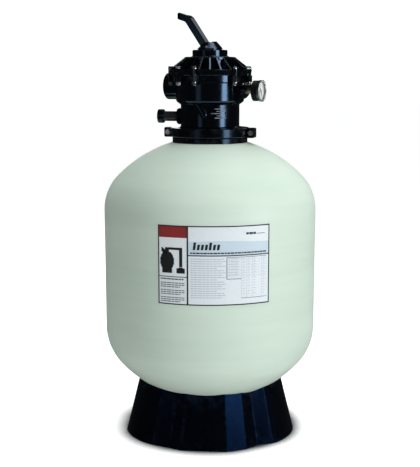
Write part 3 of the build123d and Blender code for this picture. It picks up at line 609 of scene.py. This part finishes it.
def on_throat(x, z, height):
    """Point on the raised marks: x round the throat and z up from the pad's middle, both in metres."""
    turn = radians(MARK_AZ) + x / MARK_R
    r = MARK_R + height
    return Vector((r * sin(turn), -r * cos(turn), MARK_Z + z))


def build_throat_highlight():
    """Painted highlight on the raised marks: pale strips on the frame's rails, the flow arrow's shaft and
    two rules beside it.
    """
    bm = bmesh.new()
    for x0, x1, z0, z1 in MARK_LINES:
        plate_strip(bm, on_throat, x0, x1, z0, z1, HIGHLIGHT_LIFT, HIGHLIGHT_T, columns=10)
    piece("throat_painted_highlight", bm, INKS["mark_highlight"], "tank")


# ---------------------------------------------------------------- floor, light and camera
# painted contact shadow on the floor: how far it reaches in metres, and its colour
CONTACT_SHADOW_REACH = 0.06
CONTACT_SHADOW_COLOUR = (0.03, 0.05, 0.055)
FLOOR_GLOW_SEEN, FLOOR_GLOW_UNSEEN = 0.85, 0.15
FLOOR_HALF, FLOOR_DROP = 30.0, 0.0005


def floor_material():
    """Pale floor that shows white, with a painted contact shadow: its colour and glow darken softly where
    something stands on it.
    """
    g = Graph("floor_pale")
    mottle = g.ramp(g.noise(0.6, detail=3.0), 0.0, 1.0, start=0.3, end=0.7)
    tone = g.mix(mottle, (0.80, 0.80, 0.80), (0.84, 0.84, 0.84))
    # painted contact shadow: ambient occlusion darkens the floor's colour and glow near whatever stands on
    # it
    nearby = g.add("AmbientOcclusion", samples=16, Distance=CONTACT_SHADOW_REACH)
    outside_contact_shadow = g.ramp(nearby.outputs["AO"], 0.0, 1.0, start=0.62, end=0.96)
    tone = g.mix(outside_contact_shadow, CONTACT_SHADOW_COLOUR, tone)
    seen = g.add("LightPath").outputs["Is Camera Ray"]
    glow = g.maths("MULTIPLY", g.ramp(seen, FLOOR_GLOW_UNSEEN, FLOOR_GLOW_SEEN), outside_contact_shadow)
    g.join(glow, g.shader.inputs["Emission Strength"])
    rough = g.ramp(g.noise(3.0, detail=2.0), 0.75, 0.9)
    return g.finish(tone, rough, Specular_IOR_Level=0.1, Emission_Color=(1.0, 1.0, 1.0, 1.0))


def build_floor():
    """Wide pale floor, a little below the skirt's foot."""
    bm = bmesh.new()
    bmesh.ops.create_grid(bm, x_segments=4, y_segments=4, size=FLOOR_HALF)
    mesh = bpy.data.meshes.new("floor")
    bm.to_mesh(mesh)
    bm.free()
    mesh.materials.append(floor_material())
    floor = bpy.data.objects.new("floor", mesh)
    floor.location.z = -FLOOR_DROP
    floor.visible_glossy = False
    bpy.context.scene.collection.objects.link(floor)


def softbox(name, azimuth, distance, height, width, tall, power, colour, mirrored):
    """Rectangular lamp at an azimuth round the tank, aimed at its middle; mirrored ones show in gloss."""
    data = bpy.data.lights.new(name, "AREA")
    data.shape = "RECTANGLE"
    data.size, data.size_y, data.energy, data.color = width, tall, power, colour
    lamp = bpy.data.objects.new(name, data)
    a = radians(azimuth)
    lamp.location = (distance * sin(a), -distance * cos(a), height)
    aim = LAMP_AIM - lamp.location
    lamp.rotation_euler = aim.to_track_quat("-Z", "Y").to_euler()
    lamp.visible_glossy = mirrored
    bpy.context.scene.collection.objects.link(lamp)


WHITE = (1.0, 1.0, 1.0)
# Name; azimuth in degrees; distance, height, width and tallness in metres; watts; colour; shows in gloss.
LAMPS = (
    ("key", 49, 2.7, 1.10, 0.85, 1.4, 27, (0.97, 0.99, 1.0), True),
    ("broad", 26, 3.0, 1.30, 2.6, 2.2, 19, (1.0, 1.0, 0.98), False),
    ("fill", -39, 3.0, 1.05, 0.8, 1.5, 1.2, (0.90, 0.95, 1.0), True),
    ("rear_right", 132, 2.8, 1.5, 0.9, 1.4, 18, WHITE, False),
    ("rear_left", -132, 2.8, 1.5, 0.9, 1.4, 15, WHITE, False),
    ("behind_right", 147, 2.8, 2.0, 0.9, 0.9, 1.3, WHITE, True),
    ("behind", -172, 2.8, 1.3, 0.9, 1.4, 7, WHITE, True),
    ("overhead", 160, 0.8, 3.4, 1.4, 1.2, 14, WHITE, True),
    ("sky", 30, 0.6, 3.2, 1.6, 1.6, 41, WHITE, False),
)


def build_light():
    """Tall key box at the right in a broad soft one, a faint left fill, and lamps above and behind."""
    for lamp in LAMPS:
        softbox(*lamp)


def build_room():
    """Pale surroundings: white to the camera, weaker as light, and nearly dark in reflections."""
    world = bpy.data.worlds.new("room")
    world.use_nodes = True
    tree = world.node_tree
    background = tree.nodes["Background"]
    background.inputs["Color"].default_value = ROOM_COLOUR
    ray = tree.nodes.new("ShaderNodeLightPath")
    glossy = tree.nodes.new("ShaderNodeMapRange")
    glossy.inputs["To Min"].default_value = ROOM_DIFFUSE
    glossy.inputs["To Max"].default_value = ROOM_GLOSSY
    level = tree.nodes.new("ShaderNodeMapRange")
    level.inputs["To Max"].default_value = ROOM_SEEN
    tree.links.new(ray.outputs["Is Glossy Ray"], glossy.inputs["Value"])
    tree.links.new(glossy.outputs["Result"], level.inputs["To Min"])
    tree.links.new(ray.outputs["Is Camera Ray"], level.inputs["Value"])
    tree.links.new(level.outputs["Result"], background.inputs["Strength"])
    bpy.context.scene.world = world


def build_camera():
    """Fixed camera in front, with its view transform."""
    data = bpy.data.cameras.new("camera")
    data.lens = LENS
    data.sensor_fit = "VERTICAL"
    data.sensor_height = FILM_HEIGHT
    data.clip_end = FAR_CLIP
    camera = bpy.data.objects.new("camera", data)
    camera.location = CAMERA_PLACE
    camera.rotation_euler = Euler((radians(90 - CAMERA_PITCH), 0, 0))
    bpy.context.scene.collection.objects.link(camera)
    bpy.context.scene.camera = camera
    bpy.context.scene.view_settings.view_transform = "Standard"


build_camera()
paint_cad()
build_lift_spring()
build_label()
build_dial()
build_throat_highlight()
build_floor()
build_light()
build_room()
